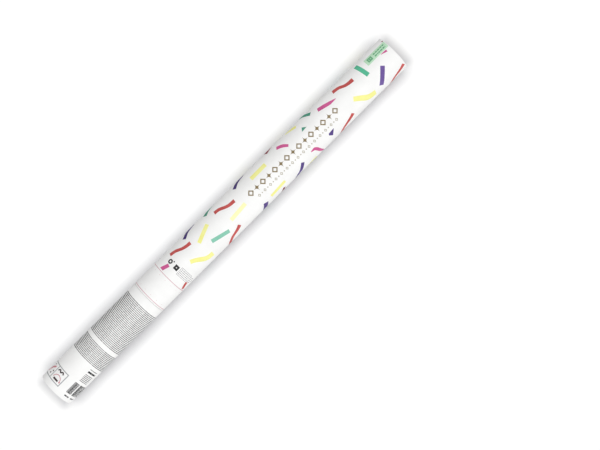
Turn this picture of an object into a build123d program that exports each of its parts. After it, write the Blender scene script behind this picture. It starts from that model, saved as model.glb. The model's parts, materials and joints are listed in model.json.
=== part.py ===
from build123d import *
import os
from math import cos, pi, radians, sin, sqrt

# Confetti cannon with a twist grip, lying on its side: the tube runs along X from its base to its muzzle.
# Lengths are in millimetres. A station is a distance from the base end along the tube.

# Paper tubes
tube_length = 600.0
tube_diameter = 49.0
tube_wall = 2.2
grip_length = 165.0
seam_gap = 0.3
rim_round = 0.4

# Fits
glue_gap = 0.05
flat_gap = 0.1
running_gap = 0.3
cut_overrun = 1.0

# Base cap
base_inset = 1.2
cap_face = 3.0
cap_skirt = 11.0
cap_wall = 1.6
cap_groove_depth = 0.8
cap_groove_width = 2.0
cap_groove_share = 0.72

# Breech body and its guide sleeve
breech_plug_length = 33.0
bulkhead_thickness = 8.0
guide_wall = 2.2
guide_foot_gap = 5.0

# Retaining ring and thrust washer
ring_foot = 2.5
ring_thickness = 1.5
ring_depth = 0.8
ring_reach = 1.6
ring_opening = 9.0
washer_thickness = 1.2

# Twist cam and followers
cam_wall = 2.3
cam_foot = 10.0
cam_rise = 6.0
twist_angle = 90.0
pin_diameter = 4.0
pin_root = 6.0
pin_chamfer = 0.4
slot_clearance = 0.35
pocket_clearance = 0.6

# Canister and its carrier
carrier_wall = 1.2
carrier_floor = 8.0
carrier_depth = 16.0
can_wall = 0.7
can_foot = 1.6
can_dome = 4.0
shoulder_height = 9.0
neck_height = 2.0
bead_width = 2.0
bead_height = 2.6

# Valve
stem_diameter = 6.0
stem_bore = 3.0
stem_port = 1.0
stem_sump = 0.8
collar_step = 1.6
collar_thickness = 1.5
stem_tail = 4.0
housing_wall = 1.2
housing_floor = 2.0
housing_inlet = 3.0
gasket_thickness = 1.5
cup_sheet = 0.5
cup_gasket_thickness = 0.6
cup_well = 2.4
cup_well_depth = 6.0
pedestal_rise = 3.0
valve_air_gap = 1.0
spring_length = 16.0
spring_wire = 0.9
spring_turns = 6

# Nozzle
nozzle_drop = 4.0
nozzle_wall = 3.2
nozzle_flange = 4.0
nozzle_flange_thickness = 4.0
nozzle_bore = 4.0
spigot_diameter = 12.0
stem_socket = 12.0
o_ring_section = 1.5
o_ring_squeeze = 0.1

# Load, from the spreader to the muzzle cover
spreader_thickness = 2.0
spreader_hole = 4.0
spreader_ring_shares = (0.38, 0.72)
spreader_ring_counts = (6, 12)
wad_thickness = 12.0
pusher_thickness = 2.0
layer_count = 7
load_slack = 4.0
stack_gap = 0.3
side_stack_share = 0.34
top_disc_thickness = 0.8
cover_inset = 2.5
cover_face = 1.2
cover_skirt = 12.0
cover_wall = 1.0

# Radii that follow from the fits, from the outside in
tube_radius = tube_diameter / 2
bore_radius = tube_radius - tube_wall
glued_radius = bore_radius - glue_gap
cam_inner = glued_radius - cam_wall
cam_middle = (glued_radius + cam_inner) / 2
guide_outer = cam_inner - running_gap
guide_inner = guide_outer - guide_wall
carrier_outer = guide_inner - running_gap
carrier_inner = carrier_outer - carrier_wall
can_radius = carrier_inner - glue_gap
load_radius = bore_radius - running_gap
pin_radius = pin_diameter / 2
stem_radius = stem_diameter / 2
collar_radius = stem_radius + collar_step
chamber_radius = collar_radius + running_gap
housing_outer = chamber_radius + housing_wall
pedestal_inner = housing_outer + glue_gap
pedestal_outer = pedestal_inner + cup_sheet
well_outer = pedestal_outer + cup_well
neck_inner = well_outer + cup_sheet + glue_gap
neck_outer = neck_inner + can_wall
bead_outer = neck_inner + bead_width
crimp_inner = bead_outer + glue_gap
spigot_radius = spigot_diameter / 2
spigot_hole = spigot_radius + glue_gap
nozzle_radius = stem_radius + nozzle_wall

# Stations that follow from the lengths, from the base to the muzzle
cap_end = base_inset + cap_face + cap_skirt
guide_start = cap_end + guide_foot_gap
ring_low = guide_start + ring_foot
ring_high = ring_low + ring_thickness
cam_start = ring_high + running_gap
pin_station = cam_start + cam_foot
carrier_low = pin_station - carrier_floor / 2
carrier_seat = carrier_low + carrier_floor
can_bottom = carrier_seat + glue_gap
washer_high = grip_length - glue_gap
washer_low = washer_high - washer_thickness
cam_end = washer_low - flat_gap
breech_top = grip_length + breech_plug_length
bulkhead_low = breech_top - bulkhead_thickness
nozzle_low = grip_length - nozzle_drop
stem_seat = nozzle_low + stem_socket
stem_top = stem_seat - glue_gap
cup_top = nozzle_low - cam_rise - valve_air_gap
gasket_high = cup_top - cup_sheet - glue_gap
gasket_low = gasket_high - gasket_thickness
housing_high = gasket_low - glue_gap
collar_high = gasket_low - flat_gap
collar_low = collar_high - collar_thickness
chamber_floor = collar_low - spring_length
housing_low = chamber_floor - housing_floor
rim_top = cup_top - pedestal_rise
well_floor = rim_top - cup_well_depth
cup_gasket_high = rim_top - cup_sheet - glue_gap
cup_gasket_low = cup_gasket_high - cup_gasket_thickness
bead_high = cup_gasket_low - glue_gap
bead_low = bead_high - bead_height
neck_low = bead_low - neck_height
shoulder_low = neck_low - shoulder_height
spreader_low = breech_top + flat_gap
wad_low = spreader_low + spreader_thickness + running_gap
pusher_low = wad_low + wad_thickness + flat_gap
load_low = pusher_low + pusher_thickness + stack_gap
cover_high = tube_length - cover_inset
cover_low = cover_high - cover_face - cover_skirt
load_high = cover_low - load_slack - top_disc_thickness
layer_pitch = (load_high - load_low) / layer_count
tissue_length = layer_pitch - stack_gap

# The tube's axis, the half plane of all turned outlines, and planes across the tube
base_x = -tube_length / 2
tube_axis = Axis((0, 0, tube_radius), (1, 0, 0))
outline_plane = Plane(origin=(base_x, 0, tube_radius), x_dir=(1, 0, 0), z_dir=(0, -1, 0))


def across(station, turn=0):
    toward = (0, cos(radians(turn)), sin(radians(turn)))
    return Plane(origin=(base_x + station, 0, tube_radius), x_dir=toward, z_dir=(1, 0, 0))


def sideways(station, reach=0, direction=1):
    origin = (base_x + station, direction * reach, tube_radius)
    return Plane(origin=origin, x_dir=(1, 0, 0), z_dir=(0, direction, 0))


def turned(outline):
    with BuildPart() as piece:
        with BuildSketch(outline_plane):
            with BuildLine():
                Polyline(*outline, close=True)
            make_face()
        revolve(axis=tube_axis)
    return piece


def ring(low, high, outer, inner=0):
    return turned([(low, inner), (low, outer), (high, outer), (high, inner)])


os.makedirs("parts", exist_ok=True)

# Barrel tube, from the twist seam to the muzzle, with softened paper edges
with BuildPart() as barrel_tube:
    with BuildSketch(across(grip_length)):
        Circle(tube_radius)
        Circle(bore_radius, mode=Mode.SUBTRACT)
    extrude(amount=tube_length - grip_length)
    fillet(barrel_tube.edges().filter_by(GeomType.CIRCLE), radius=rim_round)
barrel_tube.part.label = "barrel_tube"
export_step(barrel_tube.part, "parts/barrel_tube.step")

# Grip tube, the lower length that is twisted
with BuildPart() as grip_tube:
    with BuildSketch(across(0)):
        Circle(tube_radius)
        Circle(bore_radius, mode=Mode.SUBTRACT)
    extrude(amount=grip_length - seam_gap)
    fillet(grip_tube.edges().filter_by(GeomType.CIRCLE), radius=rim_round)
grip_tube.part.label = "grip_tube"
export_step(grip_tube.part, "parts/grip_tube.step")

# Base cap, a plug with a ring groove in its face
cap_groove_inner = glued_radius * cap_groove_share
cap_groove_outer = cap_groove_inner + cap_groove_width
cap_skirt_inner = glued_radius - cap_wall
base_cap = turned([
    (base_inset, 0),
    (base_inset, cap_groove_inner),
    (base_inset + cap_groove_depth, cap_groove_inner),
    (base_inset + cap_groove_depth, cap_groove_outer),
    (base_inset, cap_groove_outer),
    (base_inset, glued_radius),
    (cap_end, glued_radius),
    (cap_end, cap_skirt_inner),
    (base_inset + cap_face, cap_skirt_inner),
    (base_inset + cap_face, 0),
])
base_cap.part.label = "base_cap"
export_step(base_cap.part, "parts/base_cap.step")

# Breech body: plug, bulkhead and guide sleeve in one moulding, with a groove for the ring and two slots
groove_floor = guide_outer - ring_depth
groove_low = ring_low - flat_gap
groove_high = ring_high + flat_gap
slot_width = pin_diameter + 2 * slot_clearance
with BuildPart() as breech_body:
    with BuildSketch(outline_plane):
        with BuildLine():
            Polyline(
                (guide_start, guide_inner),
                (bulkhead_low, guide_inner),
                (bulkhead_low, spigot_hole),
                (breech_top, spigot_hole),
                (breech_top, glued_radius),
                (grip_length, glued_radius),
                (grip_length, guide_outer),
                (groove_high, guide_outer),
                (groove_high, groove_floor),
                (groove_low, groove_floor),
                (groove_low, guide_outer),
                (guide_start, guide_outer),
                close=True,
            )
        make_face()
    revolve(axis=tube_axis)
    with BuildSketch(sideways(pin_station + cam_rise / 2)):
        SlotOverall(cam_rise + slot_width, slot_width)
    extrude(amount=guide_outer + cut_overrun, both=True, mode=Mode.SUBTRACT)
breech_body.part.label = "breech_body"
export_step(breech_body.part, "parts/breech_body.step")

# Retaining ring, open on its lower side
ring_inner = groove_floor + glue_gap
with BuildPart() as retaining_ring:
    with BuildSketch(across(ring_low)):
        Circle(guide_outer + ring_reach)
        Circle(ring_inner, mode=Mode.SUBTRACT)
        with Locations((0, -ring_inner)):
            Rectangle(ring_opening, ring_inner, mode=Mode.SUBTRACT)
    extrude(amount=ring_thickness)
retaining_ring.part.label = "retaining_ring"
export_step(retaining_ring.part, "parts/retaining_ring.step")

thrust_washer = ring(washer_low, washer_high, load_radius, guide_outer + running_gap)
thrust_washer.part.label = "thrust_washer"
export_step(thrust_washer.part, "parts/thrust_washer.step")

# Cam sleeve: a quarter-turn helical slot for each pin, with a rounder pocket at both ends of its travel
helix_pitch = cam_rise * 360 / twist_angle
pocket_radius = pin_radius + pocket_clearance
with BuildPart() as cam_sleeve:
    with BuildSketch(across(cam_start)):
        Circle(glued_radius)
        Circle(cam_inner, mode=Mode.SUBTRACT)
    extrude(amount=cam_end - cam_start)
    for start_angle in (0, 180):
        pin_plane = across(pin_station, start_angle)
        slot_helix = Helix(helix_pitch, cam_rise, cam_middle, lefthand=True, mode=Mode.PRIVATE)
        with BuildLine() as slot_path:
            add(slot_helix.moved(pin_plane.location))
        slot_start = slot_path.line @ 0
        outward = slot_start - pin_plane.origin
        with BuildSketch(Plane(slot_start, x_dir=outward, z_dir=slot_path.line % 0)):
            Rectangle(cam_wall + 2 * cut_overrun, slot_width)
        sweep(path=slot_path.line, is_frenet=True, mode=Mode.SUBTRACT)
        for turn, rise in ((0, 0), (-twist_angle, cam_rise)):
            pocket_plane = across(pin_station + rise, start_angle + turn)
            pocket_face = Plane(pocket_plane.origin, x_dir=pocket_plane.z_dir, z_dir=pocket_plane.x_dir)
            with BuildSketch(pocket_face):
                Circle(pocket_radius)
            extrude(amount=glued_radius + cut_overrun, mode=Mode.SUBTRACT)
cam_sleeve.part.label = "cam_sleeve"
export_step(cam_sleeve.part, "parts/cam_sleeve.step")

# Canister carrier: a cup with a cross hole for the pins in its thick floor
with BuildPart() as canister_carrier:
    with BuildSketch(outline_plane):
        with BuildLine():
            Polyline(
                (carrier_low, 0),
                (carrier_low, carrier_outer),
                (carrier_seat + carrier_depth, carrier_outer),
                (carrier_seat + carrier_depth, carrier_inner),
                (carrier_seat, carrier_inner),
                (carrier_seat, 0),
                close=True,
            )
        make_face()
    revolve(axis=tube_axis)
    with BuildSketch(sideways(pin_station)):
        Circle(pin_radius + glue_gap)
    extrude(amount=carrier_outer + cut_overrun, both=True, mode=Mode.SUBTRACT)
canister_carrier.part.label = "canister_carrier"
export_step(canister_carrier.part, "parts/canister_carrier.step")

# Follower pins, one to each side, as a group of two
pin_tip = bore_radius - running_gap
with BuildPart() as follower_pins:
    for direction in (1, -1):
        with BuildSketch(sideways(pin_station, pin_root, direction)):
            Circle(pin_radius)
        extrude(amount=pin_tip - pin_root)
    chamfer(follower_pins.edges().filter_by(GeomType.CIRCLE), length=pin_chamfer)
follower_pins.part.label = "follower_pins"
export_step(follower_pins.part, "parts/follower_pins.step")

# Canister shell: drawn in one piece, with a hollowed base, a round shoulder and a beaded neck
foot_radius = can_radius - can_foot
can_inner = can_radius - can_wall
dome_top = can_bottom + can_dome
inner_foot = can_bottom + can_foot + can_wall
with BuildPart() as canister_shell:
    with BuildSketch(outline_plane):
        with BuildLine():
            TangentArc((dome_top, 0), (can_bottom, foot_radius), tangent=(0, 1))
            Polyline(
                (can_bottom, foot_radius),
                (can_bottom + can_foot, can_radius),
                (shoulder_low, can_radius),
            )
            EllipticalCenterArc(
                (shoulder_low, neck_outer), shoulder_height, can_radius - neck_outer, 0, arc_size=90
            )
            Polyline(
                (neck_low, neck_outer),
                (bead_low, neck_outer),
                (bead_low, bead_outer),
                (bead_high, bead_outer),
                (bead_high, neck_inner),
                (neck_low - can_wall, neck_inner),
            )
            EllipticalCenterArc(
                (shoulder_low, neck_inner),
                shoulder_height - can_wall,
                can_inner - neck_inner,
                0,
                arc_size=90,
            )
            Polyline(
                (shoulder_low, can_inner),
                (inner_foot, can_inner),
                (can_bottom + 2 * can_wall, foot_radius - can_wall),
            )
            TangentArc(
                (dome_top + can_wall, 0),
                (can_bottom + 2 * can_wall, foot_radius - can_wall),
                tangent=(0, 1),
            )
            Line((dome_top + can_wall, 0), (dome_top, 0))
        make_face()
    revolve(axis=tube_axis)
canister_shell.part.label = "canister_shell"
export_step(canister_shell.part, "parts/canister_shell.step")

# Valve cup: one pressed sheet from the stem hole over the pedestal and the well to the crimped rim
stem_hole = stem_radius + running_gap
valve_cup = turned([
    (cup_top, stem_hole),
    (cup_top, pedestal_outer),
    (well_floor, pedestal_outer),
    (well_floor, well_outer),
    (rim_top, well_outer),
    (rim_top, crimp_inner + cup_sheet),
    (bead_low, crimp_inner + cup_sheet),
    (bead_low, crimp_inner),
    (rim_top - cup_sheet, crimp_inner),
    (rim_top - cup_sheet, well_outer + cup_sheet),
    (well_floor - cup_sheet, well_outer + cup_sheet),
    (well_floor - cup_sheet, pedestal_inner),
    (cup_top - cup_sheet, pedestal_inner),
    (cup_top - cup_sheet, stem_hole),
])
valve_cup.part.label = "valve_cup"
export_step(valve_cup.part, "parts/valve_cup.step")

cup_gasket = ring(cup_gasket_low, cup_gasket_high, bead_outer, neck_inner)
cup_gasket.part.label = "cup_gasket"
export_step(cup_gasket.part, "parts/cup_gasket.step")

valve_gasket = ring(gasket_low, gasket_high, housing_outer, stem_radius + glue_gap)
valve_gasket.part.label = "valve_gasket"
export_step(valve_gasket.part, "parts/valve_gasket.step")

# Valve housing: the chamber that holds the collar and the spring, with an inlet in its floor
inlet_radius = housing_inlet / 2
valve_housing = turned([
    (housing_low, inlet_radius),
    (housing_low, housing_outer),
    (housing_high, housing_outer),
    (housing_high, chamber_radius),
    (chamber_floor, chamber_radius),
    (chamber_floor, inlet_radius),
])
valve_housing.part.label = "valve_housing"
export_step(valve_housing.part, "parts/valve_housing.step")

# Valve stem: bored from the top down to cross ports, which the gasket closes at rest
tail_radius = stem_bore / 2
port_station = (gasket_low + gasket_high) / 2
bore_end = port_station - stem_port / 2 - stem_sump
with BuildPart() as valve_stem:
    with BuildSketch(outline_plane):
        with BuildLine():
            Polyline(
                (collar_low - stem_tail, 0),
                (collar_low - stem_tail, tail_radius),
                (collar_low, tail_radius),
                (collar_low, collar_radius),
                (collar_high, collar_radius),
                (collar_high, stem_radius),
                (stem_top, stem_radius),
                (stem_top, stem_bore / 2),
                (bore_end, stem_bore / 2),
                (bore_end, 0),
                close=True,
            )
        make_face()
    revolve(axis=tube_axis)
    with BuildSketch(sideways(port_station)):
        Circle(stem_port / 2)
    extrude(amount=stem_radius + cut_overrun, both=True, mode=Mode.SUBTRACT)
valve_stem.part.label = "valve_stem"
export_step(valve_stem.part, "parts/valve_stem.step")

# Valve spring: one unbroken wire, wound on pairs of tangent arcs, a pair to each quarter turn
wire_radius = spring_wire / 2
spring_radius = (tail_radius + chamber_radius) / 2
spring_low = chamber_floor + flat_gap + wire_radius
spring_high = collar_low - flat_gap - wire_radius
spring_pitch = (spring_high - spring_low) / spring_turns


def on_spring(quarter):
    angle = quarter * pi / 2
    along = base_x + spring_low + spring_pitch * quarter / 4
    point = Vector(along, spring_radius * cos(angle), tube_radius + spring_radius * sin(angle))
    lead = spring_pitch / (2 * pi)
    heading = Vector(lead, -spring_radius * sin(angle), spring_radius * cos(angle)).normalized()
    return point, heading


with BuildPart() as valve_spring:
    with BuildLine() as wire_path:
        for quarter in range(4 * spring_turns):
            start, leaving = on_spring(quarter)
            end, arriving = on_spring(quarter + 1)
            chord = end - start
            both_ways = leaving + arriving
            square = 2 * (1 - leaving.dot(arriving))
            linear = 2 * chord.dot(both_ways)
            reach = (sqrt(linear ** 2 + 4 * square * chord.dot(chord)) - linear) / (2 * square)
            first_handle = start + leaving * reach
            second_handle = end - arriving * reach
            meeting = (first_handle + second_handle) / 2
            TangentArc(start, meeting, tangent=leaving)
            TangentArc(meeting, end, tangent=second_handle - first_handle)
    with BuildSketch(Plane(wire_path.line @ 0, z_dir=wire_path.line % 0)):
        Circle(wire_radius)
    sweep(path=wire_path.line)
valve_spring.part.label = "valve_spring"
export_step(valve_spring.part, "parts/valve_spring.step")
print("least gap between the spring's turns:", round(spring_pitch - spring_wire, 2), "mm")

# Nozzle block: stem socket below, flange against the bulkhead, grooved spigot through it
flange_high = bulkhead_low - glue_gap
flange_low = flange_high - nozzle_flange_thickness
o_ring_radius = spigot_hole - o_ring_squeeze - o_ring_section / 2
o_ring_floor = o_ring_radius - o_ring_section / 2 - o_ring_squeeze
o_ring_station = (bulkhead_low + breech_top) / 2
groove_half = o_ring_section / 2 + o_ring_squeeze
nozzle_block = turned([
    (nozzle_low, stem_radius + glue_gap),
    (nozzle_low, nozzle_radius),
    (flange_low, nozzle_radius),
    (flange_low, nozzle_radius + nozzle_flange),
    (flange_high, nozzle_radius + nozzle_flange),
    (flange_high, spigot_radius),
    (o_ring_station - groove_half, spigot_radius),
    (o_ring_station - groove_half, o_ring_floor),
    (o_ring_station + groove_half, o_ring_floor),
    (o_ring_station + groove_half, spigot_radius),
    (breech_top, spigot_radius),
    (breech_top, nozzle_bore / 2),
    (stem_seat, nozzle_bore / 2),
    (stem_seat, stem_radius + glue_gap),
])
nozzle_block.part.label = "nozzle_block"
export_step(nozzle_block.part, "parts/nozzle_block.step")

with BuildPart() as nozzle_o_ring:
    with BuildSketch(outline_plane):
        with Locations((o_ring_station, o_ring_radius)):
            Circle(o_ring_section / 2)
    revolve(axis=tube_axis)
nozzle_o_ring.part.label = "nozzle_o_ring"
export_step(nozzle_o_ring.part, "parts/nozzle_o_ring.step")

# Gas spreader: a disc with rings of holes
with BuildPart() as gas_spreader:
    with BuildSketch(across(spreader_low)):
        Circle(glued_radius)
        Circle(spreader_hole / 2, mode=Mode.SUBTRACT)
        for ring_share, hole_count in zip(spreader_ring_shares, spreader_ring_counts):
            with PolarLocations(glued_radius * ring_share, hole_count):
                Circle(spreader_hole / 2, mode=Mode.SUBTRACT)
    extrude(amount=spreader_thickness)
gas_spreader.part.label = "gas_spreader"
export_step(gas_spreader.part, "parts/gas_spreader.step")

# Wad and discs of the load
wad = ring(wad_low, wad_low + wad_thickness, load_radius)
wad.part.label = "wad"
export_step(wad.part, "parts/wad.step")

pusher_disc = ring(pusher_low, pusher_low + pusher_thickness, load_radius)
pusher_disc.part.label = "pusher_disc"
export_step(pusher_disc.part, "parts/pusher_disc.step")

top_disc = ring(load_high, load_high + top_disc_thickness, load_radius)
top_disc.part.label = "top_disc"
export_step(top_disc.part, "parts/top_disc.step")

# Tissue stacks: in each layer two side by side, one above and one below, coloured in turn
side_half_height = load_radius * side_stack_share
tissue_width = sqrt(load_radius ** 2 - side_half_height ** 2) - stack_gap / 2
cap_height = sqrt(load_radius ** 2 - (tissue_width / 2) ** 2) - side_half_height - stack_gap
side_middle = (tissue_width + stack_gap) / 2
cap_middle = side_half_height + stack_gap + cap_height / 2
stack_places = (
    (side_middle, 0, 2 * side_half_height),
    (0, cap_middle, cap_height),
    (-side_middle, 0, 2 * side_half_height),
    (0, -cap_middle, cap_height),
)
tissue_colours = ("red", "yellow", "green", "blue", "magenta")
for colour_index, colour in enumerate(tissue_colours):
    with BuildPart() as confetti:
        for layer in range(layer_count):
            for place, (across_y, across_z, height) in enumerate(stack_places):
                if (layer * len(stack_places) + place) % len(tissue_colours) == colour_index:
                    with BuildSketch(across(load_low + layer * layer_pitch)):
                        with Locations((across_y, across_z)):
                            Rectangle(tissue_width, height)
                    extrude(amount=tissue_length)
    confetti.part.label = f"confetti_{colour}"
    export_step(confetti.part, f"parts/confetti_{colour}.step")

# Muzzle cover: a card cap set a little below the rim
muzzle_cover = turned([
    (cover_high, 0),
    (cover_high, load_radius),
    (cover_low, load_radius),
    (cover_low, load_radius - cover_wall),
    (cover_high - cover_face, load_radius - cover_wall),
    (cover_high - cover_face, 0),
])
muzzle_cover.part.label = "muzzle_cover"
export_step(muzzle_cover.part, "parts/muzzle_cover.step")

print("travel that takes the load clear of the muzzle:", round(tube_length - wad_low, 1), "mm")
print("tissue strips:", round(tissue_length, 1), "by", round(tissue_width, 1), "mm")
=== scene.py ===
import bpy
import bmesh
import json
import math
import random
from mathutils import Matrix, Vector


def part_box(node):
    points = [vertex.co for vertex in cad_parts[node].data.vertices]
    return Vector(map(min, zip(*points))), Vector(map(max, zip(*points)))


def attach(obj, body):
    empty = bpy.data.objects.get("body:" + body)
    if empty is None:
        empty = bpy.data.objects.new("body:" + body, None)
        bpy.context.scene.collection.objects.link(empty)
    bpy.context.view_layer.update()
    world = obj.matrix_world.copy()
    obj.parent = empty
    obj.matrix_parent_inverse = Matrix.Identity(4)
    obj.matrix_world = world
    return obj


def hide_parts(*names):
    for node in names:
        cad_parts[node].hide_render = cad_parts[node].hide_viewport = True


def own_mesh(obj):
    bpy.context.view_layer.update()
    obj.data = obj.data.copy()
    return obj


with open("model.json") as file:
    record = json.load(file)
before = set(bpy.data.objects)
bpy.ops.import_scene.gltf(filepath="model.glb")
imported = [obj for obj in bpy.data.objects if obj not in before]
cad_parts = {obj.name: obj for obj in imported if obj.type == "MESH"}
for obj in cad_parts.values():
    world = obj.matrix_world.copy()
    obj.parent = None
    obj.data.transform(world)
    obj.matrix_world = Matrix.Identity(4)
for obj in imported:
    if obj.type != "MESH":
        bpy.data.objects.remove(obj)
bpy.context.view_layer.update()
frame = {"nodes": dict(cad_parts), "record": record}

# A confetti cannon lying on its side, base towards -X and muzzle towards +X.
# Stations are mm from the base end. Degrees run round the tube from its top line towards -Y.
mmPerMetre = 1000
barrelLow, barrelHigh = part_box("barrel_tube")
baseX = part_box("grip_tube")[0].x
axisZ = (barrelLow.z + barrelHigh.z) / 2
tubeRadius = (barrelHigh.z - barrelLow.z) / 2 * mmPerMetre
mmPerDegree = math.radians(tubeRadius)
windMm = 62.0        # the tubes' board winds once round in this length


def endStations(node):
    return [(corner.x - baseX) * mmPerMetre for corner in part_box(node)]


def outerRadius(node):
    low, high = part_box(node)
    return (high.y - low.y) / 2 * mmPerMetre


def addObject(name, data):
    made = bpy.data.objects.new(name, data)
    bpy.context.scene.collection.objects.link(made)
    return made


# Camera: straight above the tube, turned so that the tube climbs to the upper right
photoView = {"placeMm": (63.7, -70.6, 1800.0), "turn": -45.0, "lens": 84.43, "sensor": 36.0}
cameraData = bpy.data.cameras.new("photoCamera")
cameraData.lens = photoView["lens"]
cameraData.sensor_width = photoView["sensor"]
camera = addObject("photoCamera", cameraData)
camera.location = Vector(photoView["placeMm"]) / mmPerMetre
camera.rotation_euler = (0.0, 0.0, math.radians(photoView["turn"]))
bpy.context.scene.camera = camera
bpy.context.scene.view_settings.view_transform = "Standard"
print("camera set")


# The sRGB curve, from hex to linear
def hexLinear(text):
    channels = [int(text[at:at + 2], 16) / 255 for at in (1, 3, 5)]
    linear = [part / 12.92 if part <= 0.04045 else ((part + 0.055) / 1.055) ** 2.4 for part in channels]
    return (*linear, 1.0)


def perMetre(sizeMm):
    return mmPerMetre / sizeMm


def addNode(tree, kind, values=None, links=None, **settings):
    # a link comes from a socket, or from the first output of a node
    node = tree.nodes.new("ShaderNode" + kind)
    for name, value in settings.items():
        setattr(node, name, value)
    for socket, value in (values or {}).items():
        node.inputs[socket].default_value = value
    for socket, source in (links or {}).items():
        output = source.outputs[0] if isinstance(source, bpy.types.Node) else source
        tree.links.new(output, node.inputs[socket])
    return node


# Two tones in soft patches, a roughness that follows them and a fine grain in relief, given by its size
# and depth in mm. A finish may make its colour out of the tones.
softPattern = {"patchDetail": 4.0, "patchFrom": 0.3, "patchTo": 0.7, "grainDetail": 2.0}


def surfaceOf(name, look, recolour=None):
    material = bpy.data.materials.new(name)
    material.use_nodes = True
    tree = material.node_tree
    shader = tree.nodes["Principled BSDF"]
    place = addNode(tree, "TexCoord").outputs["Object"]
    spread = addNode(tree, "Mapping", {"Scale": look.get("stretch", (1, 1, 1))}, {"Vector": place})
    patchSize = {"Scale": perMetre(look["patchMm"]), "Detail": softPattern["patchDetail"]}
    patches = addNode(tree, "TexNoise", patchSize, {"Vector": spread})
    patchRange = {"From Min": softPattern["patchFrom"], "From Max": softPattern["patchTo"]}
    share = addNode(tree, "MapRange", patchRange, {"Value": patches})
    light, shade = map(hexLinear, look["tones"])
    tones = addNode(tree, "Mix", {6: light, 7: shade}, {0: share}, data_type="RGBA").outputs[2]
    rough = addNode(tree, "MapRange", dict(zip(("To Min", "To Max"), look["rough"])), {"Value": share})
    grainMm, deepMm = look["grain"]
    grainSize = {"Scale": perMetre(grainMm), "Detail": softPattern["grainDetail"]}
    grain = addNode(tree, "TexNoise", grainSize, {"Vector": spread})
    relief = addNode(tree, "Bump", {"Strength": 1.0, "Distance": deepMm / mmPerMetre}, {"Height": grain})
    colour = recolour(tree, look, place, tones) if recolour else tones
    tree.links.new(colour, shader.inputs["Base Color"])
    tree.links.new(rough.outputs[0], shader.inputs["Roughness"])
    tree.links.new(relief.outputs[0], shader.inputs["Normal"])
    for socket, value in look["shader"].items():
        shader.inputs[socket].default_value = value
    return material


# Coated art paper, calendered and varnished: an even bright white with a soft satin glow.
# Its fibres are drawn coarser than life, at about a millimetre, so that they show.
paperGrain = {"grain": (1.1, 0.012), "rough": (0.55, 0.66)}
coatedPaper = surfaceOf("coatedPaper", {
    "tones": ("#F8F8F7", "#F3F3F2"), "patchMm": 16.0, **paperGrain,
    "shader": {"IOR": 1.5, "Specular IOR Level": 0.12}})


# Wound greyboard, plies glued in a spiral: dull, warm grey, flecked with fibres.
# The butt joints of the inner ply run round the bore as fine dark spirals.
def flecksAndJoints(tree, look, place, tones):
    centred = addNode(tree, "Mapping", {"Location": (0.0, 0.0, -axisZ)}, {"Vector": place})
    parts = addNode(tree, "SeparateXYZ", links={0: centred})
    turn = addNode(tree, "Math", links={0: parts.outputs["Y"], 1: parts.outputs["Z"]}, operation="ARCTAN2")
    turns = addNode(tree, "Math", {1: math.tau}, {0: turn}, operation="DIVIDE")
    along = addNode(tree, "Math", {1: perMetre(windMm)}, {0: parts.outputs["X"]}, operation="MULTIPLY")
    wound = addNode(tree, "Math", links={0: along, 1: turns}, operation="ADD")
    toJoint = addNode(tree, "Math", {1: 0.5}, {0: wound}, operation="PINGPONG")        # in windings
    jointFade = {"From Max": look["jointMm"] / windMm / 2, "To Min": 1.0, "To Max": 0.0}
    joint = addNode(tree, "MapRange", jointFade, {"Value": toJoint})
    fleckSize = {"Scale": perMetre(look["fleckMm"]), "Detail": look["fleckDetail"]}
    flecks = addNode(tree, "TexNoise", fleckSize, {"Vector": place})
    fleckRange = dict(zip(("From Min", "From Max"), look["fleckRange"]))
    fleck = addNode(tree, "MapRange", fleckRange, {"Value": flecks})
    for share, tone in ((fleck, look["fleck"]), (joint, look["joint"])):
        tones = addNode(tree, "Mix", {7: hexLinear(tone)}, {0: share, 6: tones}, data_type="RGBA").outputs[2]
    return tones


woundGreyboard = surfaceOf("woundBoard", {
    "tones": ("#DAD5CB", "#C9C2B4"), "patchMm": 6.0, "grain": (0.6, 0.05), "rough": (0.85, 0.95),
    "jointMm": 0.9, "joint": "#8F8778", "fleck": "#A49B8A", "fleckMm": 1.3, "fleckDetail": 5.0,
    "fleckRange": (0.6, 0.72), "shader": {"Specular IOR Level": 0.2}}, flecksAndJoints)

# Pressed white card: matt, faintly cloudy, with a soft tooth
pressedCard = surfaceOf("pressedCard", {
    "tones": ("#F1F0EC", "#E7E5DF"), "patchMm": 5.0, "grain": (0.7, 0.03), "rough": (0.7, 0.82),
    "shader": {"Specular IOR Level": 0.25}})

# Die-cut greyboard of the discs: the tube's board again, without its joints
cutBoard = surfaceOf("cutBoard", {
    "tones": ("#D9D5CC", "#C8C2B6"), "patchMm": 3.0, "grain": (0.6, 0.05), "rough": (0.85, 0.95),
    "shader": {"Specular IOR Level": 0.2}})

# Moulded ABS with a fine spark-eroded texture: a soft even gleam
whiteAbs = surfaceOf("mouldedWhiteAbs", {
    "tones": ("#F0F0EE", "#EAEAE7"), "patchMm": 9.0, "grain": (0.5, 0.012), "rough": (0.4, 0.5),
    "shader": {"IOR": 1.54}})
greyAbs = surfaceOf("mouldedGreyAbs", {
    "tones": ("#C3C5C8", "#BABCBF"), "patchMm": 9.0, "grain": (0.5, 0.012), "rough": (0.42, 0.52),
    "shader": {"IOR": 1.54}})

# Turned and moulded acetal: milky, slick and slightly waxy
acetal = surfaceOf("mouldedAcetal", {
    "tones": ("#F1F0EB", "#E9E8E1"), "patchMm": 7.0, "grain": (0.8, 0.004), "rough": (0.26, 0.34),
    "shader": {"IOR": 1.48, "Subsurface Weight": 0.1, "Subsurface Radius": (0.002, 0.002, 0.0018)}})

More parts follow.
